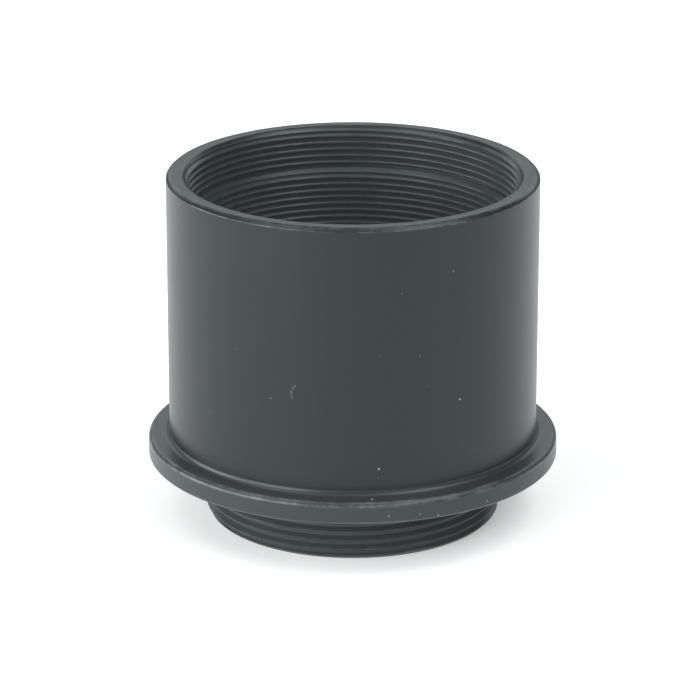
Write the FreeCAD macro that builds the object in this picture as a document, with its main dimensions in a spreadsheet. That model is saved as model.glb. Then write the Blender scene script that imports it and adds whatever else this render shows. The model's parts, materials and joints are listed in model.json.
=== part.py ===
import FreeCAD, Part
import os
import Sketcher

# Adapter that holds a C-mount camera in a 1.25 inch eyepiece socket.
#
# The real one is turned from one aluminium bar, so it is one body: its outside is a revolved
# half-section, its inside is bored out by a second one, and then its edges are broken. From
# the bottom it has the camera thread, a thread relief, the flange whose underside seats on the
# camera, and the barrel. Inside it steps from the clear opening in the camera thread to the
# light-trap bore, and from there over a cone and a relief groove to the filter thread.
#
# The origin is the middle of the camera thread's end face, on which the adapter stands, and
# +Z runs along the optical axis to the rim. Lengths are in millimetres. The threads are held
# as the cylinders that they are cut from: the camera thread at its major diameter, and the
# filter and light-trap threads at their bores.

PART_NAME = "adapter_body"

# Alias, value and meaning of each size that can be set by itself
DRIVING_SIZES = (
    ("barrel_diameter", 31.75, "outside of the barrel, 1.25 inch"),
    ("barrel_length", 23.172, "barrel from the flange's top face to the rim"),
    ("rim_break", 0.28, "45 degree break of the rim's outer edge"),
    ("foot_fillet", 0.40, "fillet where the barrel meets the flange"),
    ("flange_lip", 1.80, "reach of the flange past the barrel, all round"),
    ("flange_thickness", 1.85, "flange from its seat to its top face"),
    ("flange_top_break", 0.25, "45 degree break of the flange's upper edge"),
    ("flange_seat_break", 0.15, "45 degree break of the flange's lower edge"),
    ("thread_diameter", 25.40, "major diameter of the camera thread, 1 inch"),
    ("thread_pitch", 0.79375, "pitch of the camera thread, 32 turns to the inch"),
    ("thread_length", 5.213, "camera thread's end face to the flange's seat"),
    ("thread_break", 0.45, "45 degree break at the start of the camera thread"),
    ("relief_width", 0.90, "flat of the thread relief under the flange"),
    ("relief_depth", 0.12, "thread relief below the thread's root"),
    ("relief_wall", 0.80, "wall between the thread relief and the clear opening"),
    ("undercut_depth", 0.12, "undercut that the relief makes in the flange, above the seat"),
    ("undercut_reach", 0.25, "undercut past the camera thread's major radius"),
    ("opening_break", 0.25, "45 degree break of both ends of the clear opening"),
    ("web_thickness", 1.80, "flange's seat to the shoulder inside"),
    ("filter_wall", 1.625, "wall of the barrel outside the filter thread's root"),
    ("filter_pitch", 0.60, "pitch of the filter thread"),
    ("filter_depth", 3.70, "rim to the foot of the filter thread's bore"),
    ("lead_in_over", 0.23, "lead-in chamfer past the filter thread's root"),
    ("filter_relief_width", 0.30, "relief groove at the foot of the filter thread"),
    ("filter_relief_depth", 0.05, "relief groove past the filter thread's root"),
    ("trap_step", 0.595, "step from the filter thread's bore to the light-trap bore"),
    ("cone_height", 0.47, "height of the cone that joins the two bores"),
)

# Depth of a 60 degree thread in pitches, cut into a shaft and into a bore
SHAFT_THREAD_DEPTH = 0.6134
BORE_THREAD_DEPTH = 0.5413

# Alias and formula of each size that follows from the others
DERIVED_SIZES = (
    ("barrel_radius", "=barrel_diameter / 2"),
    ("flange_radius", "=barrel_radius + flange_lip"),
    ("flange_top", "=thread_length + flange_thickness"),
    ("rim_height", "=flange_top + barrel_length"),
    ("thread_radius", "=thread_diameter / 2"),
    ("thread_root", f"=thread_radius - {SHAFT_THREAD_DEPTH} * thread_pitch"),
    ("relief_radius", "=thread_root - relief_depth"),
    ("relief_foot", "=thread_length - relief_width"),
    ("relief_start", "=relief_foot - (thread_radius - relief_radius)"),
    ("undercut_radius", "=thread_radius + undercut_reach"),
    ("undercut_top", "=thread_length + undercut_depth"),
    ("opening_radius", "=relief_radius - relief_wall"),
    ("shoulder_height", "=thread_length + web_thickness"),
    ("filter_root", "=barrel_radius - filter_wall"),
    ("filter_radius", f"=filter_root - {BORE_THREAD_DEPTH} * filter_pitch"),
    ("filter_foot", "=rim_height - filter_depth"),
    ("filter_relief_radius", "=filter_root + filter_relief_depth"),
    ("filter_relief_top", "=filter_foot + filter_relief_width"),
    ("lead_in_width", "=filter_root + lead_in_over - filter_radius"),
    ("trap_radius", "=filter_radius - trap_step"),
    ("trap_top", "=filter_foot - cone_height"),
)

# Largest distance at which an edge counts as lying at its worked-out place
EDGE_MATCH = 0.001


def make_sheet(doc):
    """Write the driving sizes, and then the ones that follow from them, into the sheet."""
    sheet = doc.addObject("Spreadsheet::Sheet", "sizes")
    row = 0
    for alias, value, meaning in DRIVING_SIZES:
        row += 1
        sheet.set(f"A{row}", str(value))
        sheet.setAlias(f"A{row}", alias)
        sheet.set(f"B{row}", meaning)
    for alias, formula in DERIVED_SIZES:
        row += 1
        sheet.set(f"A{row}", formula)
        sheet.setAlias(f"A{row}", alias)
    doc.recompute()
    return sheet


def tie_corner(sketch, line, axis, formula):
    """Place the start of a line by a formula: axis X is its radius, axis Y its height."""
    if formula == "0":
        on_axis = -2 if axis == "X" else -1
        sketch.addConstraint(Sketcher.Constraint("PointOnObject", line, 1, on_axis))
        return
    value = sketch.evalExpression(formula)
    index = sketch.addConstraint(Sketcher.Constraint(f"Distance{axis}", -1, 1, line, 1, value))
    name = f"corner_{line}_{axis.lower()}"
    sketch.renameConstraint(index, name)
    sketch.setExpression(f"Constraints.{name}", formula)


def draw_half_section(body, name, corners):
    """Draw a closed half-section, with radius across and height up, tied to the sheet.

    A corner is a pair of formulas, its radius and its height. Where two neighbours share one
    of them, the line between them is held upright or level instead of dimensioned again.
    """
    sketch = body.newObject("Sketcher::SketchObject", name)
    plane = next(item for item in body.Origin.OriginFeatures if item.Role == "XZ_Plane")
    sketch.AttachmentSupport = (plane, "")
    sketch.MapMode = "FlatFace"
    points = [
        FreeCAD.Vector(sketch.evalExpression(radius), sketch.evalExpression(height), 0)
        for radius, height in corners
    ]
    count = len(corners)
    for line in range(count):
        sketch.addGeometry(Part.LineSegment(points[line], points[(line + 1) % count]), False)
    for line in range(count):
        sketch.addConstraint(Sketcher.Constraint("Coincident", line, 2, (line + 1) % count, 1))
    for line, (radius, height) in enumerate(corners):
        before = (line - 1) % count
        radius_before, height_before = corners[before]
        if radius == radius_before:
            sketch.addConstraint(Sketcher.Constraint("Vertical", before))
        else:
            tie_corner(sketch, line, "X", radius)
        if height == height_before:
            sketch.addConstraint(Sketcher.Constraint("Horizontal", before))
        else:
            tie_corner(sketch, line, "Y", height)
    return sketch


def turn_outside(body):
    """Revolve the outside: camera thread, relief, flange and barrel, solid to the axis."""
    corners = (
        ("0", "0"),
        ("sizes.thread_radius", "0"),
        ("sizes.thread_radius", "sizes.relief_start"),
        ("sizes.relief_radius", "sizes.relief_foot"),
        ("sizes.relief_radius", "sizes.undercut_top"),
        ("sizes.undercut_radius", "sizes.undercut_top"),
        ("sizes.undercut_radius", "sizes.thread_length"),
        ("sizes.flange_radius", "sizes.thread_length"),
        ("sizes.flange_radius", "sizes.flange_top"),
        ("sizes.barrel_radius", "sizes.flange_top"),
        ("sizes.barrel_radius", "sizes.rim_height"),
        ("0", "sizes.rim_height"),
    )
    section = draw_half_section(body, "outside_section", corners)
    turned = body.newObject("PartDesign::Revolution", "turned_outside")
    turned.Profile = section
    turned.ReferenceAxis = (section, ["V_Axis"])
    turned.Angle = 360
    return turned


def bore_inside(body):
    """Bore the inside: clear opening, shoulder, light-trap bore, cone, relief, filter bore."""
    corners = (
        ("0", "0"),
        ("sizes.opening_radius", "0"),
        ("sizes.opening_radius", "sizes.shoulder_height"),
        ("sizes.trap_radius", "sizes.shoulder_height"),
        ("sizes.trap_radius", "sizes.trap_top"),
        ("sizes.filter_radius", "sizes.filter_foot"),
        ("sizes.filter_relief_radius", "sizes.filter_foot"),
        ("sizes.filter_relief_radius", "sizes.filter_relief_top"),
        ("sizes.filter_radius", "sizes.filter_relief_top"),
        ("sizes.filter_radius", "sizes.rim_height"),
        ("0", "sizes.rim_height"),
    )
    section = draw_half_section(body, "inside_section", corners)
    bored = body.newObject("PartDesign::Groove", "bored_inside")
    bored.Profile = section
    bored.ReferenceAxis = (section, ["V_Axis"])
    bored.Angle = 360
    return bored


def rings(doc, feature, *places):
    """Name the feature's circular edges that lie at the given pairs of radius and height."""
    doc.recompute()
    names = []
    for radius_formula, height_formula in places:
        radius = feature.evalExpression(radius_formula)
        height = feature.evalExpression(height_formula)
        found = [
            f"Edge{number}"
            for number, edge in enumerate(feature.Shape.Edges, start=1)
            if isinstance(edge.Curve, Part.Circle)
            and abs(edge.Curve.Radius - radius) < EDGE_MATCH
            and abs(edge.Curve.Center.z - height) < EDGE_MATCH
        ]
        if not found:
            raise RuntimeError(f"no edge at {radius_formula}, {height_formula}")
        names += found
    return names


def break_edges(doc, body, name, size, *places):
    """Cut the same 45 degree chamfer on each of the named rings."""
    base = body.Tip
    edges = rings(doc, base, *places)
    chamfer = body.newObject("PartDesign::Chamfer", name)
    chamfer.Base = (base, edges)
    chamfer.setExpression("Size", size)
    return chamfer


def round_foot(doc, body):
    """Fillet the inner corner in which the barrel meets the flange."""
    base = body.Tip
    edges = rings(doc, base, ("sizes.barrel_radius", "sizes.flange_top"))
    fillet = body.newObject("PartDesign::Fillet", "barrel_foot")
    fillet.Base = (base, edges)
    fillet.setExpression("Radius", "sizes.foot_fillet")
    return fillet


def make_adapter(doc):
    """Turn, bore and finish the one-piece adapter."""
    body = doc.addObject("PartDesign::Body", PART_NAME)
    body.Label = PART_NAME
    turn_outside(body)
    bore_inside(body)
    break_edges(
        doc, body, "lead_in", "sizes.lead_in_width",
        ("sizes.filter_radius", "sizes.rim_height"),
    )
    break_edges(
        doc, body, "rim_edge", "sizes.rim_break",
        ("sizes.barrel_radius", "sizes.rim_height"),
    )
    break_edges(
        doc, body, "flange_top_edge", "sizes.flange_top_break",
        ("sizes.flange_radius", "sizes.flange_top"),
    )
    break_edges(
        doc, body, "flange_seat_edge", "sizes.flange_seat_break",
        ("sizes.flange_radius", "sizes.thread_length"),
    )
    break_edges(
        doc, body, "thread_start", "sizes.thread_break",
        ("sizes.thread_radius", "0"),
    )
    break_edges(
        doc, body, "opening_edges", "sizes.opening_break",
        ("sizes.opening_radius", "0"),
        ("sizes.opening_radius", "sizes.shoulder_height"),
    )
    round_foot(doc, body)
    body.Placement = FreeCAD.Placement()
    return body


def check_document(doc, body):
    """Stop if any feature failed, or if the adapter isn't one valid hollow solid."""
    doc.recompute()
    for item in doc.Objects:
        if "Invalid" in item.State or "Error" in item.State:
            raise RuntimeError(f"{item.Name} failed: {item.State}")
    if body.Shape.isNull() or not body.Shape.isValid() or len(body.Shape.Solids) != 1:
        raise RuntimeError("the adapter is not one valid solid")
    turned = doc.getObject("turned_outside").Shape.Volume
    bored = doc.getObject("bored_inside").Shape.Volume
    if not bored < turned:
        raise RuntimeError("the bore cut nothing")


def main():
    """Build the adapter, check it and write its solid."""
    doc = FreeCAD.newDocument("c_mount_adapter")
    make_sheet(doc)
    body = make_adapter(doc)
    check_document(doc, body)
    os.makedirs("parts", exist_ok=True)
    body.Shape.exportStep(f"parts/{body.Label}.step")
    box = body.Shape.BoundBox
    print(f"{body.Label}: {box.XLength:.3f} x {box.YLength:.3f} x {box.ZLength:.3f} mm")
    print(f"volume {body.Shape.Volume:.1f} cubic mm, {len(body.Shape.Faces)} faces")


main()
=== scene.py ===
import json
import math

import bpy
import numpy as np
from mathutils import Matrix, Vector


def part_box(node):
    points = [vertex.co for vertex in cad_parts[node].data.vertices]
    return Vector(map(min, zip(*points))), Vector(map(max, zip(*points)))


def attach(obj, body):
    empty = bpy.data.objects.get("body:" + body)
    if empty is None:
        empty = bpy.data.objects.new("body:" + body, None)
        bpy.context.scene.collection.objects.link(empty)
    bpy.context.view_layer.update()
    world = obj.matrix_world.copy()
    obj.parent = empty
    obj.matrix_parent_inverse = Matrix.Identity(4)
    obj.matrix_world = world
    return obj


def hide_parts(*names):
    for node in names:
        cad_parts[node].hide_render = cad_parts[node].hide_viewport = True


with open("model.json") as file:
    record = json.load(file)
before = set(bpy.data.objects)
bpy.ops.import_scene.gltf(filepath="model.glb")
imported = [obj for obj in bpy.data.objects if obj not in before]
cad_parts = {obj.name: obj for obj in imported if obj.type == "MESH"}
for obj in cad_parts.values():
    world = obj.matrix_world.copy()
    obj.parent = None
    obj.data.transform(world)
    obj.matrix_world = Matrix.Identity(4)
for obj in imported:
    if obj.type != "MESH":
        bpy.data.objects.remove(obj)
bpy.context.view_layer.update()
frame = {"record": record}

# Black anodised adapter that holds a camera in a 1.25 inch eyepiece socket, turned in one
# piece. It stands on its camera thread, +Z runs along the optical axis to the rim, and
# lengths are in metres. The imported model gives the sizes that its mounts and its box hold.

bl_info = {
    "name": "C-mount Adapter",
    "version": (1, 0, 0),
    "blender": (4, 5, 0),
    "location": "3D View > Sidebar > Adapter",
    "description": "Turned eyepiece adapter with its three threads, on a studio floor",
    "category": "Add Mesh",
}

MM = 0.001
NODE = "adapter_body"
MOUNTS = {mount["name"]: mount for mount in frame["record"]["mounts"]}
BODY_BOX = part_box(NODE)
FLANGE_REACH = min(-BODY_BOX[0].x, -BODY_BOX[0].y, BODY_BOX[1].x, BODY_BOX[1].y)

# Columns round the axis
COLUMNS = 180

# Steps along a softened corner, and the wear and painted highlight of its rows, with a holding
# row on each side
CORNER_STEPS = np.array([0.0, 1 / 3, 2 / 3, 1.0])
CORNER_WEAR_AND_HIGHLIGHT = np.array([0.0, 0.5, 1.0, 1.0, 0.5, 0.0])

# Largest share of a side that a corner's rounding takes
CORNER_SHARE = 0.44

# How far off a holding row stands at most, as a length and as a share of the side
HOLD = 0.06 * MM
HOLD_SHARE = 0.04

# Depth of a 60 degree thread for a pitch of 1, outside and inside
SHAFT_DEPTH = 0.6134
BORE_DEPTH = 0.5413

# Share of the pitch within which a thread's points join its end ring
SNAP_SHARE = 0.02

# How far past its root radius a bore's thread is cut into the lead-in or the cone
OVERRUN = 0.02 * MM

# Angle between neighbouring faces above which an edge is shaded sharp
SHARP_ANGLE = math.radians(42)

# Corners of the outside, counted from the seat, that belong to the flange, the foot fillet
# among them, so that the fillet too is painted lighter
FLANGE_CORNERS = 5

# Point that the lights face
AIM = Vector((0.0, 0.0, 15 * MM))

# Darker tone of the black as a share of it, and the roughness that a speck adds
DEEP_SHARE = 0.8
SPECK_ROUGH = 0.3

# Half the width of the floor in metres
FLOOR_REACH = 1.5

# Soft panels of the studio in metres: name, place, width and height
PANELS = (
    ("overhead", (0.0, 0.0, 0.75), 0.80, 0.80),
    ("back_wall", (0.0, 0.90, 0.42), 1.60, 0.30),
    ("left_low", (-0.70, 0.0, 0.18), 0.50, 0.34),
    ("corner_low", (-0.495, -0.495, 0.18), 0.50, 0.34),
    ("left_high", (-0.358, -0.130, 0.602), 0.35, 0.35),
    ("right_high", (0.358, -0.130, 0.602), 0.35, 0.35),
    ("corner_right", (0.315, -0.375, 0.36), 0.30, 0.30),
)
WHITE = (1.0, 1.0, 1.0)

# Material slots on the mesh
BARREL, FLANGE, THREAD, BORE = 0, 1, 2, 3

# Specks, short scratches and a curved hair on the barrel, and specks on the flange: azimuth in
# degrees, radius and height in millimetres, half the width and half the height in
# millimetres, and strength
BARREL_MARKS = (
    (303.9, 15.875, 14.62, 0.12, 0.11, 0.90),
    (277.8, 15.875, 9.41, 0.12, 0.14, 0.60),
    (277.6, 15.875, 8.62, 0.07, 0.07, 0.20),
    (301.1, 15.875, 25.90, 0.15, 0.10, 0.24),
    (284.5, 15.875, 24.58, 0.09, 0.09, 0.15),
    (221.3, 15.875, 12.46, 0.10, 0.08, 0.24),
    (292.7, 15.875, 16.29, 0.09, 0.09, 0.14),
    (290.2, 15.875, 19.05, 0.08, 0.11, 0.16),
    (278.2, 15.875, 19.34, 0.07, 0.09, 0.10),
    (244.7, 15.875, 15.13, 0.20, 0.06, 0.20),
    (232.1, 15.875, 18.76, 0.15, 0.06, 0.11),
    (252.6, 15.875, 16.48, 0.14, 0.18, 0.10),
    (251.9, 15.875, 16.26, 0.12, 0.24, 0.11),
    (251.4, 15.875, 15.96, 0.10, 0.28, 0.12),
    (251.3, 15.875, 15.66, 0.10, 0.28, 0.10),
    (251.7, 15.875, 15.40, 0.13, 0.18, 0.08),
)
FLANGE_MARKS = (
    (275.5, 16.700, 7.063, 0.14, 0.10, 0.90),
    (279.7, 17.675, 5.90, 0.10, 0.09, 0.50),
    (288.4, 17.675, 5.83, 0.10, 0.08, 0.45),
    (293.6, 17.675, 5.51, 0.11, 0.09, 0.60),
    (309.4, 17.675, 5.75, 0.11, 0.09, 0.50),
)


def size_property(name, default, description):
    """Length in metres that a user can set."""
    return bpy.props.FloatProperty(
        name=name, description=description, default=default, min=0.0, precision=5,
        unit="LENGTH",
    )


def power_property(name, default, description):
    """Power of a lamp in watts."""
    return bpy.props.FloatProperty(
        name=name, description=description, default=default, min=0.0, unit="POWER")


class AdapterSizes(bpy.types.PropertyGroup):
    """Sizes of the turned body."""

    barrel_radius: size_property(
        "Barrel Radius", MOUNTS["barrel"]["dims"]["r_mm"] * MM, "Radius of the barrel")
    rim_height: size_property(
        "Rim Height", BODY_BOX[1].z, "Height of the rim above the camera thread's end")
    rim_break: size_property("Rim Break", 0.28 * MM, "Chamfer of the rim's outer edge")
    land_edge: size_property("Land Edge", 0.22 * MM, "Soft edges of the rim's land")
    foot_fillet: size_property("Foot Fillet", 0.40 * MM, "Fillet where barrel meets flange")
    flange_radius: size_property("Flange Radius", FLANGE_REACH, "Radius of the flange")
    flange_thickness: size_property("Flange Thickness", 1.85 * MM, "Seat to top face")
    flange_top_break: size_property("Flange Top Break", 0.25 * MM, "Chamfer of its top edge")
    flange_edge: size_property("Flange Edge", 0.14 * MM, "Soft edges of that chamfer")
    flange_seat_break: size_property("Flange Seat Break", 0.15 * MM, "Chamfer of its low edge")
    seat_height: size_property(
        "Seat Height", MOUNTS["camera_seat"]["pos_m"][2], "Height of the flange's seat")
    undercut_radius: size_property("Undercut Radius", 12.95 * MM, "Undercut in the seat")
    undercut_depth: size_property("Undercut Depth", 0.12 * MM, "Undercut above the seat")
    relief_radius: size_property("Relief Radius", 12.093 * MM, "Radius of the thread relief")
    relief_width: size_property("Relief Width", 0.90 * MM, "Flat of the thread relief")
    opening_radius: size_property("Opening Radius", 11.293 * MM, "Radius of the clear opening")
    opening_break: size_property("Opening Break", 0.25 * MM, "Chamfer of the clear opening")
    shoulder_height: size_property("Shoulder Height", 7.013 * MM, "Height of the shoulder")


class AdapterThreads(bpy.types.PropertyGroup):
    """Sizes of the camera thread, the filter thread and the light-trap thread."""

    camera_radius: size_property(
        "Camera Thread Radius", MOUNTS["camera_thread"]["dims"]["r_mm"] * MM,
        "Major radius of the camera thread")
    camera_pitch: size_property(
        "Camera Pitch", 0.79375 * MM, "32 turns to the inch, the standard's pitch")
    camera_break: size_property("Camera Break", 0.45 * MM, "Chamfer at the thread's start")
    camera_crest: size_property(
        "Camera Crest", 2.515 * MM, "Height of one crest at the front")
    filter_radius: size_property(
        "Filter Bore Radius", MOUNTS["filter_thread"]["dims"]["r_mm"] * MM,
        "Minor radius of the filter thread")
    filter_pitch: size_property("Filter Pitch", 0.60 * MM, "Pitch of the filter thread")
    filter_depth: size_property("Filter Depth", 3.70 * MM, "Rim to the groove's foot")
    filter_lead_in: size_property("Lead-in", 0.555 * MM, "Lead-in chamfer at the rim")
    filter_crest: size_property(
        "Filter Crest", 29.41 * MM, "Height of one crest at the back")
    groove_radius: size_property("Groove Radius", 14.30 * MM, "Relief groove's radius")
    groove_width: size_property("Groove Width", 0.30 * MM, "Relief groove's width")
    trap_radius: size_property("Trap Radius", 13.33 * MM, "Radius of the light-trap bore")
    trap_pitch: size_property("Trap Pitch", 0.60 * MM, "Pitch of the light-trap thread")
    trap_cone: size_property("Cone Height", 0.47 * MM, "Cone between the two bores")
    trap_crest: size_property(
        "Trap Crest", 25.19 * MM, "Height of one crest at the back")
    trap_runout: size_property("Trap Run-out", 0.60 * MM, "Fade of the thread at its foot")
    trap_plain: size_property("Trap Plain", 0.30 * MM, "Plain wall below that thread")


class AdapterFinish(bpy.types.PropertyGroup):
    """Colours of the anodised finish."""

    black: bpy.props.FloatVectorProperty(
        name="Black", description="Dyed oxide of the finish", subtype="COLOR",
        default=(0.0100, 0.0115, 0.0115), min=0.0, max=1.0)
    sheen: bpy.props.FloatVectorProperty(
        name="Sheen", description="Tint of what the finish mirrors", subtype="COLOR",
        default=(0.88, 1.0, 1.0), min=0.0, max=1.0)
    # Paler oxide on rubbed edges, which also paints the highlights on edges and crests
    worn_and_lit: bpy.props.FloatVectorProperty(
        name="Worn", description="Paler oxide on rubbed edges", subtype="COLOR",
        default=(0.112, 0.123, 0.124), min=0.0, max=1.0)
    dust: bpy.props.FloatVectorProperty(
        name="Dust", description="Lint and specks that lie on the finish", subtype="COLOR",
        default=(0.42, 0.45, 0.45), min=0.0, max=1.0)


class StudioSettings(bpy.types.PropertyGroup):
    """Camera, floor and lights."""

    focal_length: bpy.props.FloatProperty(
        name="Focal Length", description="Of the camera, in millimetres", default=193.37,
        min=1.0, subtype="DISTANCE_CAMERA")
    camera_place: bpy.props.FloatVectorProperty(
        name="Camera Place", description="Where the camera stands", subtype="TRANSLATION",
        default=(-0.000243, -0.305342, 0.122222))
    camera_pitch: bpy.props.FloatProperty(
        name="Camera Pitch", description="How far it looks down", subtype="ANGLE",
        default=0.3398084)
    camera_roll: bpy.props.FloatProperty(
        name="Camera Roll", description="Turn about its own view line", subtype="ANGLE",
        default=-0.0010762)
    floor_colour: bpy.props.FloatVectorProperty(
        name="Floor", description="Pale floor", subtype="COLOR",
        default=(0.90, 0.94, 0.935), min=0.0, max=1.0)
    floor_glow: bpy.props.FloatProperty(
        name="Floor Glow", description="Light of the table top itself", default=0.30, min=0.0)
    surround: bpy.props.FloatProperty(
        name="Surround", description="Strength of the even light", default=0.0, min=0.0)
    haze: bpy.props.FloatVectorProperty(
        name="Haze", description="Stray light that the bright floor lays over the picture",
        subtype="COLOR", default=(0.0168, 0.019, 0.019), min=0.0, max=1.0)
    back_tint: bpy.props.FloatVectorProperty(
        name="Back Tint", description="Colour of the wide light behind", subtype="COLOR",
        default=(0.90, 1.0, 0.99), min=0.0, max=1.0)
    overhead: power_property("Overhead", 1.75, "Power of the light above")
    back_wall: power_property("Back Wall", 2.58, "Power of the wide light behind")
    left_low: power_property("Left Low", 4.3, "Power of the low light on the left")
    corner_low: power_property("Corner Low", 4.3, "Power of the low light at the front left")
    left_high: power_property("Left High", 1.1, "Power of the high light on the left")
    right_high: power_property("Right High", 1.9, "Power of the high light on the right")
    corner_right: power_property("Corner Right", 1.0, "Power of the light at the front right")


def softened(corners, before, after):
    """Round the corners of a half-section and put a holding row beside each rounding.

    A row of corners is radius, height, rounding, and wear with painted highlight. The
    rounding starts and ends that far from the corner, but takes no more than a share of the
    side that it lies on. With S, C and E its start, its corner and its end, and w the cosine of
    half the turn, a point on it is ((1-t)^2 S + 2t(1-t) w C + t^2 E) / ((1-t)^2 + 2t(1-t) w +
    t^2), which is a circular arc where both sides give the same. Returns radius, height, and
    wear with painted highlight, one row each.
    """
    path = np.vstack([before, corners[:, :2], after])
    back, ahead = path[:-2] - path[1:-1], path[2:] - path[1:-1]
    back_run = np.linalg.norm(back, axis=1, keepdims=True)
    ahead_run = np.linalg.norm(ahead, axis=1, keepdims=True)
    back, ahead = back / back_run, ahead / ahead_run
    here = corners[:, :2]
    start = here + np.minimum(corners[:, 2:3], CORNER_SHARE * back_run) * back
    end = here + np.minimum(corners[:, 2:3], CORNER_SHARE * ahead_run) * ahead
    half_turn = np.sqrt((1 - (back * ahead).sum(axis=1)) / 2)[:, None, None]
    t = CORNER_STEPS[None, :, None]
    near, middle, far = (1 - t) ** 2, 2 * t * (1 - t) * half_turn, t ** 2
    arc = near * start[:, None] + middle * here[:, None] + far * end[:, None]
    arc = arc / (near + middle + far)
    first = start + np.minimum(HOLD, HOLD_SHARE * back_run) * back
    last = end + np.minimum(HOLD, HOLD_SHARE * ahead_run) * ahead
    rows = np.concatenate([first[:, None], arc, last[:, None]], axis=1)
    wear = corners[:, 3:4] * CORNER_WEAR_AND_HIGHLIGHT[None, :]
    return np.column_stack([rows.reshape(-1, 2), wear.reshape(-1)])


class Skin:
    """Closed surface round the axis, collected ring by ring and thread by thread."""

    def __init__(self):
        self.turn = 2 * np.pi * np.arange(COLUMNS) / COLUMNS
        self.points, self.wear, self.count = [], [], 0
        self.faces, self.slots = [], []

    def add(self, radius, turn, height, wear):
        """Store points given in cylinder coordinates and return their numbers."""
        radius, turn, height, wear = np.broadcast_arrays(radius, turn, height, wear)
        x, y = radius * np.cos(turn), radius * np.sin(turn)
        self.points.append(np.stack([x, y, height], axis=-1).reshape(-1, 3))
        self.wear.append(wear.reshape(-1))
        numbers = self.count + np.arange(radius.size).reshape(radius.shape)
        self.count += radius.size
        return numbers

    def rings(self, rows):
        """Carry half-section rows of radius, height and wear with painted highlight once round
        the axis.
        """
        return self.add(rows[:, 0:1], self.turn[None, :], rows[:, 1:2], rows[:, 2:3])

    def ring(self, radius, height):
        """Add one ring without wear or painted highlight, whose radius may change round the
        axis.
        """
        return self.add(radius, self.turn, height, 0.0)

    def join(self, numbers, slot):
        """Span neighbouring rings with two triangles for each pair of columns."""
        closed = np.column_stack([numbers, numbers[:, :1]])
        self.span(closed, slot)

    def span(self, grid, slot, flip=False):
        """Make triangles on a grid of point numbers and drop those that have collapsed."""
        a, b = grid[:-1, :-1].ravel(), grid[:-1, 1:].ravel()
        c, d = grid[1:, 1:].ravel(), grid[1:, :-1].ravel()
        made = np.vstack([np.column_stack([a, b, c]), np.column_stack([a, c, d])])
        whole = (
            (made[:, 0] != made[:, 1]) & (made[:, 1] != made[:, 2]) & (made[:, 2] != made[:, 0])
        )
        made = made[whole]
        if flip:
            made = made[:, ::-1]
        self.faces.append(made)
        self.slots.append(np.full(len(made), slot))

    def thread(self, form, slot, inner):
        """Skin a thread between its two end rings, with its rows along the helix.

        At azimuth a and height z the phase is u = (z - crest) / pitch - a / turn, and the
        radius is bore + depth * cut(u) in a bore, never less than the plain wall, or
        crest - depth * cut(u) on a shaft, never more than it. Row i of turn k stands at
        height crest + pitch * (k + row_i + a / turn), kept between the end rings, whose own
        points it shares there. A row's last column is the first column of the row that lies
        one turn above it.
        """
        pitch, low, high = form["pitch"], form["low"], form["high"]
        marks, cuts, wear = form["marks"], form["cuts"], form["wear"]
        crest = form["crest"] + pitch * marks[0]

        def radius_at(height, turn):
            phase = ((height - crest) / pitch - turn / (2 * np.pi)) % 1.0
            cut = np.interp(phase, np.append(marks - marks[0], 1.0), np.append(cuts, cuts[0]))
            cut = cut * form["depth"] * np.interp(height, form["fade_z"], form["fade"])
            wall = np.interp(height, form["wall_z"], form["wall_r"])
            if inner:
                return np.maximum(wall, form["radius"] + cut)
            return np.minimum(wall, form["radius"] - cut)

        low_ring = self.ring(radius_at(np.full(COLUMNS, low), self.turn), low)
        high_ring = self.ring(radius_at(np.full(COLUMNS, high), self.turn), high)
        per_turn = len(marks)
        turns = int(np.ceil((high - low) / pitch)) + 3
        first = low - (low - crest) % pitch
        rows = (np.arange(turns)[:, None] - 1 + (marks - marks[0])[None, :]).reshape(-1, 1)
        height = first + pitch * (rows + np.arange(COLUMNS)[None, :] / COLUMNS)
        near = SNAP_SHARE * pitch
        under, over = height <= low + near, height >= high - near
        grid = np.where(under, low_ring[None, :], np.where(over, high_ring[None, :], -1))
        free = grid < 0
        turn = np.broadcast_to(self.turn, height.shape)[free]
        worn_and_lit = np.broadcast_to(np.tile(wear, turns)[:, None], height.shape)[free]
        grid[free] = self.add(radius_at(height[free], turn), turn, height[free], worn_and_lit)
        above = np.vstack([grid[per_turn:, :1], np.full((per_turn, 1), high_ring[0])])
        self.span(np.column_stack([grid, above]), slot, flip=inner)
        return low_ring, high_ring

    def to_object(self, name, materials):
        """Write the collected arrays into a mesh object at the origin."""
        points, faces = np.vstack(self.points), np.vstack(self.faces)
        slots = np.concatenate(self.slots)
        mesh = bpy.data.meshes.new(name)
        mesh.vertices.add(len(points))
        mesh.vertices.foreach_set("co", points.ravel())
        mesh.loops.add(faces.size)
        mesh.loops.foreach_set("vertex_index", faces.ravel())
        mesh.polygons.add(len(faces))
        mesh.polygons.foreach_set("loop_start", np.arange(0, faces.size, 3))
        mesh.polygons.foreach_set("material_index", slots)
        worn_and_lit = mesh.attributes.new("wear", "FLOAT", "POINT")
        worn_and_lit.data.foreach_set("value", np.concatenate(self.wear))
        for material in materials:
            mesh.materials.append(material)
        mesh.update(calc_edges=True)
        mesh.validate()
        mesh.shade_smooth()
        mesh.set_sharp_from_angle(angle=SHARP_ANGLE)
        piece = bpy.data.objects.new(name, mesh)
        bpy.context.collection.objects.link(piece)
        return piece


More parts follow.
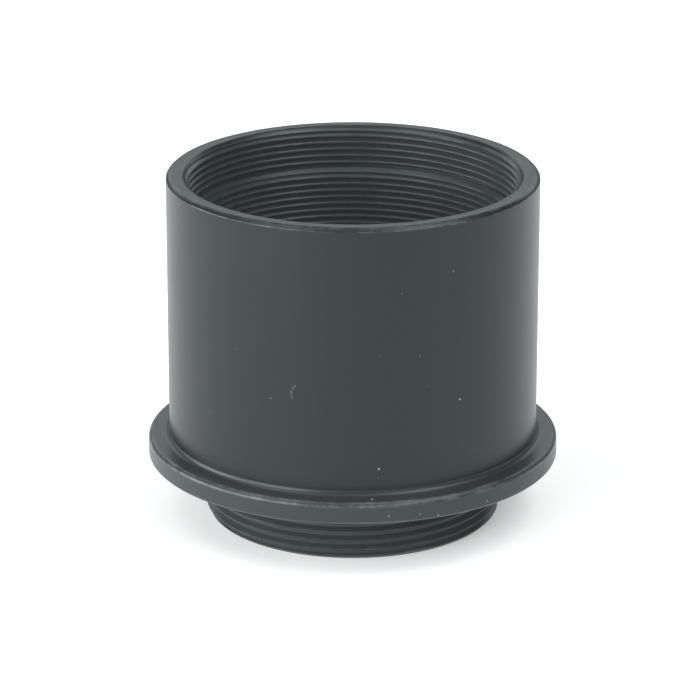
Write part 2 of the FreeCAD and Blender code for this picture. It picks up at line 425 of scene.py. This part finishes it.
def shaft_form(radius, pitch, crest, low, high):
    """Phases and cuts of an outside thread: crest an eighth of the pitch, root a quarter."""
    return {
        "radius": radius, "pitch": pitch, "crest": crest, "low": low, "high": high,
        "depth": SHAFT_DEPTH * pitch,
        "marks": np.array([-0.0625, -0.035, 0.035, 0.0625, 0.22, 0.375, 0.4, 0.6, 0.625, 0.78]),
        "cuts": np.array([0.07, 0.012, 0.012, 0.07, 0.535, 0.96, 1.0, 1.0, 0.96, 0.535]),
        # Pale wear on the crest, partly a painted highlight along it
        "wear": np.array([0.6, 1.0, 1.0, 0.6, 0.0, 0.0, 0.0, 0.0, 0.0, 0.0]),
    }


def bore_form(radius, pitch, crest, low, high):
    """Phases and cuts of an inside thread: crest a quarter of the pitch, root an eighth."""
    return {
        "radius": radius, "pitch": pitch, "crest": crest, "low": low, "high": high,
        "depth": BORE_DEPTH * pitch,
        "marks": np.array([-0.155, -0.08, 0.08, 0.155, 0.28, 0.4375, 0.5625, 0.72]),
        "cuts": np.array([0.11, 0.0, 0.0, 0.11, 0.50, 1.0, 1.0, 0.50]),
        # Pale wear on the crest, partly a painted highlight along it
        "wear": np.array([0.6, 1.0, 1.0, 0.6, 0.0, 0.0, 0.0, 0.0]),
    }


def start_height(crest, pitch, azimuth):
    """Height at azimuth 0 of a right-hand crest that passes the given height at azimuth."""
    return crest - pitch * azimuth / 360.0


def skin_adapter(sizes, threads):
    """Skin the whole body: a closed half-section carried round, with its threads cut in."""
    skin = Skin()
    rim, seat = sizes.rim_height, sizes.seat_height
    flange, barrel = sizes.flange_radius, sizes.barrel_radius
    top = seat + sizes.flange_thickness
    relief_foot = seat - sizes.relief_width
    relief_start = relief_foot - (threads.camera_radius - sizes.relief_radius)

    shaft = shaft_form(
        threads.camera_radius, threads.camera_pitch,
        start_height(threads.camera_crest, threads.camera_pitch, 270), 0.0, relief_foot)
    end_radius = threads.camera_radius - threads.camera_break
    shaft["wall_z"] = [0.0, threads.camera_break, relief_start, relief_foot]
    shaft["wall_r"] = [
        end_radius, threads.camera_radius, threads.camera_radius, sizes.relief_radius]
    shaft["fade_z"], shaft["fade"] = [0.0, relief_foot], [1.0, 1.0]
    shaft_low, shaft_high = skin.thread(shaft, THREAD, inner=False)

    groove_foot = rim - threads.filter_depth
    groove_top = groove_foot + threads.groove_width
    lead_foot = rim - threads.filter_lead_in
    filter_root = threads.filter_radius + BORE_DEPTH * threads.filter_pitch
    filter_high = lead_foot + (filter_root - threads.filter_radius) + OVERRUN
    filtered = bore_form(
        threads.filter_radius, threads.filter_pitch,
        start_height(threads.filter_crest, threads.filter_pitch, 90), groove_top, filter_high)
    filtered["wall_z"] = [groove_top, lead_foot, rim]
    filtered["wall_r"] = [
        threads.filter_radius, threads.filter_radius,
        threads.filter_radius + threads.filter_lead_in]
    filtered["fade_z"], filtered["fade"] = [groove_top, rim], [1.0, 1.0]
    filter_low, filter_ring = skin.thread(filtered, BORE, inner=True)

    cone_foot = groove_foot - threads.trap_cone
    trap_root = threads.trap_radius + BORE_DEPTH * threads.trap_pitch
    step = threads.filter_radius - threads.trap_radius
    trap_reach = trap_root + OVERRUN - threads.trap_radius
    trap_high = cone_foot + threads.trap_cone * trap_reach / step
    trap_low = sizes.shoulder_height + threads.trap_plain
    trapped = bore_form(
        threads.trap_radius, threads.trap_pitch,
        start_height(threads.trap_crest, threads.trap_pitch, 90), trap_low, trap_high)
    trapped["wall_z"] = [trap_low, cone_foot, groove_foot]
    trapped["wall_r"] = [threads.trap_radius, threads.trap_radius, threads.filter_radius]
    trapped["fade_z"] = [trap_low, trap_low + threads.trap_runout]
    trapped["fade"] = [0.0, 1.0]
    trap_foot, trap_ring = skin.thread(trapped, BORE, inner=True)

    # Each corner below is radius, height, rounding and wear with painted highlight, strongest
    # on the flange's top edge and the rim's break
    fine, edge = 0.03 * MM, 0.05 * MM
    relief = np.array([
        (sizes.relief_radius, seat + sizes.undercut_depth, edge, 0),
        (sizes.undercut_radius, seat + sizes.undercut_depth, fine, 0),
        (sizes.undercut_radius, seat, fine, 0),
    ])
    outside = np.array([
        (flange - sizes.flange_seat_break, seat, fine, 1),
        (flange, seat + sizes.flange_seat_break, edge, 1),
        (flange, top - sizes.flange_top_break, sizes.flange_edge, 1.7),
        (flange - sizes.flange_top_break, top, sizes.flange_edge, 1.7),
        (barrel, top, sizes.foot_fillet, 0),
        (barrel, rim - sizes.rim_break, edge, 1.6),
        (barrel - sizes.rim_break, rim, sizes.land_edge, 1),
        (threads.filter_radius + threads.filter_lead_in, rim, sizes.land_edge, 0.3),
    ])
    groove = np.array([
        (threads.groove_radius, groove_top, fine, 0),
        (threads.groove_radius, groove_foot, fine, 0),
        (threads.filter_radius, groove_foot, fine, 1),
    ])
    opening = np.array([
        (threads.trap_radius, sizes.shoulder_height, fine, 0),
        (sizes.opening_radius + sizes.opening_break, sizes.shoulder_height, fine, 1),
        (sizes.opening_radius, sizes.shoulder_height - sizes.opening_break, fine, 1),
        (sizes.opening_radius, sizes.opening_break, fine, 1),
        (sizes.opening_radius + sizes.opening_break, 0.0, fine, 1),
    ])
    shaft_end = (sizes.relief_radius, relief_foot)
    filter_end = (filter_root, filter_high)
    groove_start = ((threads.filter_radius + filter_root) / 2, groove_top)
    trap_end = (trap_root, trap_high)
    trap_start = (threads.trap_radius, trap_low)
    shaft_start = (end_radius, 0.0)

    relief_rows = skin.rings(softened(relief, shaft_end, outside[0, :2]))
    outside_rows = skin.rings(softened(outside, relief[-1, :2], filter_end))
    groove_rows = skin.rings(softened(groove, groove_start, trap_end))
    opening_rows = skin.rings(softened(opening, trap_start, shaft_start))
    flange_rows = outside_rows[:FLANGE_CORNERS * len(CORNER_WEAR_AND_HIGHLIGHT)]
    skin.join(np.vstack([shaft_high, relief_rows]), THREAD)
    skin.join(np.vstack([relief_rows[-1:], flange_rows]), FLANGE)
    skin.join(np.vstack([flange_rows[-1:], outside_rows[len(flange_rows):]]), BARREL)
    # The rim's lead-in chamfer takes the barrel's darker black, a painted shade
    skin.join(np.vstack([outside_rows[-1:], filter_ring]), BARREL)
    skin.join(np.vstack([filter_low, groove_rows, trap_ring]), BORE)
    skin.join(np.vstack([trap_foot, opening_rows]), BORE)
    skin.join(np.vstack([opening_rows[-1:], shaft_low]), THREAD)
    return skin


def new_group(name, inputs, outputs):
    """Start a shader node group with its sockets and return it, its input and its output."""
    group = bpy.data.node_groups.new(name, "ShaderNodeTree")
    for label, kind, value in inputs:
        socket = group.interface.new_socket(name=label, in_out="INPUT", socket_type=kind)
        socket.default_value = value
    for label, kind in outputs:
        group.interface.new_socket(name=label, in_out="OUTPUT", socket_type=kind)
    return group, group.nodes.new("NodeGroupInput"), group.nodes.new("NodeGroupOutput")


def put(tree, kind, settings=None, inputs=None):
    """Add a node, set its properties, and fill or link its inputs."""
    made = tree.nodes.new(kind)
    for key, value in (settings or {}).items():
        setattr(made, key, value)
    for key, value in (inputs or {}).items():
        if isinstance(value, bpy.types.NodeSocket):
            tree.links.new(value, made.inputs[key])
        else:
            made.inputs[key].default_value = value
    return made


def calc(tree, operation, first, second=0.0, third=0.0, clamp=False):
    """Add a Math node and return its result."""
    made = put(
        tree, "ShaderNodeMath", {"operation": operation, "use_clamp": clamp},
        {0: first, 1: second, 2: third})
    return made.outputs["Value"]


def blend(tree, factor, first, second):
    """Mix two colours and return the result."""
    made = put(
        tree, "ShaderNodeMix", {"data_type": "RGBA"},
        {"Factor": factor, "A": first, "B": second})
    return made.outputs["Result"]


VALUE, VECTOR = "NodeSocketFloat", "NodeSocketVector"


def turning_group():
    """Fine rings that the lathe leaves: noise that changes with radius and height only."""
    group, given, result = new_group(
        "turning_marks", [("Spacing", VALUE, 0.0002)], [("Height", VALUE)])
    place = put(group, "ShaderNodeTexCoord").outputs["Object"]
    apart = put(group, "ShaderNodeSeparateXYZ", inputs={"Vector": place})
    flat = put(
        group, "ShaderNodeCombineXYZ",
        inputs={"X": apart.outputs["X"], "Y": apart.outputs["Y"]}).outputs["Vector"]
    radius = put(group, "ShaderNodeVectorMath", {"operation": "LENGTH"}, {0: flat})
    across = calc(group, "DIVIDE", radius.outputs["Value"], given.outputs["Spacing"])
    along = calc(group, "DIVIDE", apart.outputs["Z"], given.outputs["Spacing"])
    rings = put(group, "ShaderNodeCombineXYZ", inputs={"X": across, "Y": along})
    noise = put(
        group, "ShaderNodeTexNoise", inputs={"Vector": rings.outputs["Vector"], "Detail": 3.0})
    group.links.new(noise.outputs["Fac"], result.inputs["Height"])
    return group


def tone_group():
    """Slow change of tone over the surface, between 0 and 1."""
    group, given, result = new_group("slow_tone", [("Size", VALUE, 0.006)], [("Tone", VALUE)])
    place = put(group, "ShaderNodeTexCoord").outputs["Object"]
    rate = calc(group, "DIVIDE", 1.0, given.outputs["Size"])
    noise = put(
        group, "ShaderNodeTexNoise",
        inputs={"Vector": place, "Scale": rate, "Detail": 4.0, "Roughness": 0.6})
    group.links.new(noise.outputs["Fac"], result.inputs["Tone"])
    return group


def dust_group():
    """Sparse round specks: one in each of a small share of a cell pattern's cells."""
    group, given, result = new_group(
        "dust_specks",
        [("Cell", VALUE, 0.001), ("Dot", VALUE, 0.1), ("Share", VALUE, 0.1)],
        [("Mask", VALUE)])
    place = put(group, "ShaderNodeTexCoord").outputs["Object"]
    rate = calc(group, "DIVIDE", 1.0, given.outputs["Cell"])
    cells = put(group, "ShaderNodeTexVoronoi", inputs={"Vector": place, "Scale": rate})
    near = calc(group, "DIVIDE", cells.outputs["Distance"], given.outputs["Dot"])
    dot = calc(group, "SUBTRACT", 1.0, near, clamp=True)
    draw = put(group, "ShaderNodeSeparateColor", inputs={"Color": cells.outputs["Color"]})
    held = calc(group, "LESS_THAN", draw.outputs["Red"], given.outputs["Share"])
    mask = calc(group, "MULTIPLY", dot, held)
    group.links.new(mask, result.inputs["Mask"])
    return group


def wear_and_highlight_group():
    """Pale rubbed edges that also paint the edges' highlights: the mesh's own wear and
    highlight value, broken up by noise.
    """
    group, given, result = new_group(
        "edge_wear", [("Grain", VALUE, 0.0008), ("Reach", VALUE, 0.5)], [("Mask", VALUE)])
    wear = put(group, "ShaderNodeAttribute", {"attribute_name": "wear"}).outputs["Fac"]
    place = put(group, "ShaderNodeTexCoord").outputs["Object"]
    rate = calc(group, "DIVIDE", 1.0, given.outputs["Grain"])
    noise = put(
        group, "ShaderNodeTexNoise",
        inputs={"Vector": place, "Scale": rate, "Detail": 5.0, "Roughness": 0.75})
    patch = put(
        group, "ShaderNodeMapRange", {"interpolation_type": "SMOOTHSTEP"},
        {"Value": noise.outputs["Fac"], "From Min": 0.36, "From Max": 0.74})
    amount = calc(group, "MULTIPLY", wear, patch.outputs["Result"])
    amount = calc(group, "MULTIPLY", amount, given.outputs["Reach"])
    group.links.new(amount, result.inputs["Mask"])
    return group


def mark_group():
    """One speck or scratch: a soft spot round a place, squeezed by its own half sizes."""
    group, given, result = new_group(
        "surface_mark",
        [("Place", VECTOR, (0, 0, 0)), ("Rate", VECTOR, (1, 1, 1)), ("Strength", VALUE, 1.0)],
        [("Mask", VALUE)])
    here = put(group, "ShaderNodeTexCoord").outputs["Object"]
    apart = put(
        group, "ShaderNodeVectorMath", {"operation": "SUBTRACT"},
        {0: here, 1: given.outputs["Place"]}).outputs["Vector"]
    scaled = put(
        group, "ShaderNodeVectorMath", {"operation": "MULTIPLY"},
        {0: apart, 1: given.outputs["Rate"]}).outputs["Vector"]
    reach = put(group, "ShaderNodeVectorMath", {"operation": "LENGTH"}, {0: scaled})
    spot = put(
        group, "ShaderNodeMapRange", {"interpolation_type": "SMOOTHSTEP"},
        {"Value": reach.outputs["Value"], "From Min": 1.0, "From Max": 0.3})
    mask = calc(group, "MULTIPLY", spot.outputs["Result"], given.outputs["Strength"])
    group.links.new(mask, result.inputs["Mask"])
    return group


def marks_mask(tree, group, marks):
    """Lay every mark of a table over the finish and return the strongest at each point."""
    mask = 0.0
    for azimuth, radius, height, half_width, half_height, strength in marks:
        turn = math.radians(azimuth)
        place = (radius * math.cos(turn) * MM, radius * math.sin(turn) * MM, height * MM)
        rate = (1 / (half_width * MM), 1 / (half_width * MM), 1 / (half_height * MM))
        mark = put(
            tree, "ShaderNodeGroup", {"node_tree": group},
            {"Place": place, "Rate": rate, "Strength": strength})
        mask = calc(tree, "MAXIMUM", mark.outputs["Mask"], mask)
    return mask


def anodised(name, groups, finish, look):
    """Dyed oxide on aluminium: near-black with a clear, slightly rough gloss."""
    material = bpy.data.materials.new(name)
    material.use_nodes = True
    tree = material.node_tree
    shader = tree.nodes["Principled BSDF"]
    marks = put(
        tree, "ShaderNodeGroup", {"node_tree": groups["turning"]},
        {"Spacing": look["spacing"]}).outputs["Height"]
    tone = put(
        tree, "ShaderNodeGroup", {"node_tree": groups["tone"]},
        {"Size": look["tone_size"]}).outputs["Tone"]
    specks = put(
        tree, "ShaderNodeGroup", {"node_tree": groups["dust"]},
        {"Cell": look["cell"], "Dot": look["dot"], "Share": look["share"]}).outputs["Mask"]
    rubbed_and_lit = put(
        tree, "ShaderNodeGroup", {"node_tree": groups["wear"]},
        {"Grain": look["grain"], "Reach": look["reach"]}).outputs["Mask"]
    if look["marks"]:
        drawn = marks_mask(tree, groups["mark"], look["marks"])
        specks = calc(tree, "MAXIMUM", specks, drawn)
    worn_and_lit, dust = (*finish.worn_and_lit, 1.0), (*finish.dust, 1.0)
    # The shade scales the black per part: a painted lightness standing in for the light each
    # part gets
    black = tuple(look["shade"] * part for part in finish.black) + (1.0,)
    deep = tuple(DEEP_SHARE * part for part in black[:3]) + (1.0,)
    colour = blend(tree, tone, deep, black)
    # Pale worn edges and crests over the black, partly painted highlight
    colour = blend(tree, rubbed_and_lit, colour, worn_and_lit)
    colour = blend(tree, specks, colour, dust)
    tree.links.new(colour, shader.inputs["Base Color"])
    rough = calc(tree, "MULTIPLY_ADD", tone, look["rough_change"], look["rough"])
    rough = calc(tree, "MULTIPLY_ADD", specks, SPECK_ROUGH, rough)
    tree.links.new(rough, shader.inputs["Roughness"])
    shader.inputs["IOR"].default_value = look["ior"]
    shader.inputs["Specular Tint"].default_value = (*finish.sheen, 1.0)
    bump = put(
        tree, "ShaderNodeBump", inputs={
            "Strength": look["bump"], "Distance": look["bump_depth"], "Height": marks})
    tree.links.new(bump.outputs["Normal"], shader.inputs["Normal"])
    return material


def finish_materials(finish):
    """Build the shared groups once and the finish of each part of the surface. The flange with
    its foot fillet, the thread and the bore are the barrel's black painted lighter, as painted
    light.
    """
    groups = {
        "turning": turning_group(), "tone": tone_group(), "dust": dust_group(),
        "wear": wear_and_highlight_group(), "mark": mark_group(),
    }
    barrel = {
        "spacing": 0.00012, "tone_size": 0.005, "cell": 0.0016, "dot": 0.07, "share": 0.02,
        "grain": 0.0018, "reach": 0.55, "rough": 0.30, "rough_change": 0.06, "ior": 1.40,
        "shade": 0.4, "bump": 0.15, "bump_depth": 0.00001, "marks": BARREL_MARKS,
    }
    # Copies of the barrel's finish with the black painted lighter, as painted light on the
    # flange and foot fillet, the thread and the bore
    flange = {"shade": 2.1, "marks": FLANGE_MARKS}
    thread = {"reach": 0.45, "shade": 3.2, "marks": ()}
    bore = {"reach": 0.30, "rough": 0.30, "shade": 3.0, "marks": ()}
    return [
        anodised("anodised_barrel", groups, finish, barrel),
        anodised("anodised_flange", groups, finish, {**barrel, **flange}),
        anodised("anodised_thread", groups, finish, {**barrel, **thread}),
        anodised("anodised_bore", groups, finish, {**barrel, **bore}),
    ]


class ADAPTER_OT_body(bpy.types.Operator):
    """Make the turned body with its threads and give it its finish"""

    bl_idname = "adapter.body"
    bl_label = "Adapter Body"

    def execute(self, context):
        scene = context.scene
        materials = finish_materials(scene.adapter_finish)
        skin = skin_adapter(scene.adapter_sizes, scene.adapter_threads)
        piece = skin.to_object("turned_adapter", materials)
        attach(piece, "root")
        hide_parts(NODE)
        return {"FINISHED"}


def add_panel(name, power, place, width, height, colour):
    """Add a soft rectangular light that faces the middle of the adapter."""
    light = bpy.data.lights.new(name, "AREA")
    light.shape = "RECTANGLE"
    light.size, light.size_y, light.energy = width, height, power
    light.color = colour
    lamp = bpy.data.objects.new(name, light)
    lamp.location = place
    lamp.rotation_euler = (AIM - Vector(place)).to_track_quat("-Z", "Y").to_euler()
    bpy.context.collection.objects.link(lamp)


class ADAPTER_OT_stage(bpy.types.Operator):
    """Lay the pale floor, hang the soft lights and stand the camera at the photo's angle"""

    bl_idname = "adapter.stage"
    bl_label = "Studio Stage"

    def execute(self, context):
        scene = context.scene
        studio = scene.adapter_studio
        far = FLOOR_REACH
        corners = [(-far, -far, 0), (far, -far, 0), (far, far, 0), (-far, far, 0)]
        mesh = bpy.data.meshes.new("studio_floor")
        mesh.from_pydata(corners, [], [(0, 1, 2, 3)])
        paint = bpy.data.materials.new("floor_paint")
        paint.use_nodes = True
        shader = paint.node_tree.nodes["Principled BSDF"]
        shader.inputs["Base Color"].default_value = (*studio.floor_colour, 1.0)
        shader.inputs["Roughness"].default_value = 0.9
        shader.inputs["Specular IOR Level"].default_value = 0.1
        shader.inputs["Emission Color"].default_value = (1.0, 1.0, 1.0, 1.0)
        shader.inputs["Emission Strength"].default_value = studio.floor_glow
        mesh.materials.append(paint)
        floor = bpy.data.objects.new("studio_floor", mesh)
        context.collection.objects.link(floor)

        for name, place, width, height in PANELS:
            colour = studio.back_tint if name == "back_wall" else WHITE
            add_panel(name, getattr(studio, name), place, width, height, colour)

        world = bpy.data.worlds.new("studio_surround")
        world.use_nodes = True
        tree = world.node_tree
        ground = tree.nodes["Background"]
        ground.inputs["Color"].default_value = (1.0, 1.0, 1.0, 1.0)
        seen = put(tree, "ShaderNodeLightPath").outputs["Is Camera Ray"]
        strength = calc(tree, "MAXIMUM", seen, studio.surround)
        tree.links.new(strength, ground.inputs["Strength"])
        scene.world = world

        pitch, roll = studio.camera_pitch, studio.camera_roll
        forward = Vector((0.0, math.cos(pitch), -math.sin(pitch)))
        level = Vector((1.0, 0.0, 0.0))
        rise = Vector((0.0, math.sin(pitch), math.cos(pitch)))
        right = math.cos(roll) * level - math.sin(roll) * rise
        up = math.sin(roll) * level + math.cos(roll) * rise
        camera = bpy.data.cameras.new("photo_camera")
        camera.sensor_width = 36.0
        camera.lens = studio.focal_length
        camera.clip_start, camera.clip_end = 0.01, 10.0
        holder = bpy.data.objects.new("photo_camera", camera)
        turn = Matrix((right, up, -forward)).transposed().to_4x4()
        holder.matrix_world = Matrix.Translation(Vector(studio.camera_place)) @ turn
        context.collection.objects.link(holder)
        scene.camera = holder
        view = scene.view_settings
        view.view_transform = "Standard"
        view.use_curve_mapping = True
        view.curve_mapping.black_level = [-part for part in studio.haze]
        return {"FINISHED"}


class ADAPTER_PT_panel(bpy.types.Panel):
    """Sizes, finish and stage of the adapter"""

    bl_idname = "ADAPTER_PT_panel"
    bl_label = "C-mount Adapter"
    bl_space_type = "VIEW_3D"
    bl_region_type = "UI"
    bl_category = "Adapter"

    def draw(self, context):
        scene, layout = context.scene, self.layout
        for operator in OPERATORS:
            layout.operator(operator.bl_idname)
        for key in SETTINGS:
            box = layout.box()
            settings = getattr(scene, key)
            for name in settings.bl_rna.properties.keys():
                if name not in ("rna_type", "name"):
                    box.prop(settings, name)


OPERATORS = (ADAPTER_OT_body, ADAPTER_OT_stage)
SETTINGS = {
    "adapter_sizes": AdapterSizes,
    "adapter_threads": AdapterThreads,
    "adapter_finish": AdapterFinish,
    "adapter_studio": StudioSettings,
}
CLASSES = (*SETTINGS.values(), *OPERATORS, ADAPTER_PT_panel)


def register():
    """Register the classes and hang the settings on the scene."""
    for item in CLASSES:
        bpy.utils.register_class(item)
    for key, item in SETTINGS.items():
        setattr(bpy.types.Scene, key, bpy.props.PointerProperty(type=item))


def unregister():
    """Take the settings and the classes away again."""
    for key in SETTINGS:
        delattr(bpy.types.Scene, key)
    for item in reversed(CLASSES):
        bpy.utils.unregister_class(item)


def main():
    """Make the adapter and its stage."""
    register()
    bpy.ops.adapter.body()
    bpy.ops.adapter.stage()


if __name__ == "__main__":
    main()
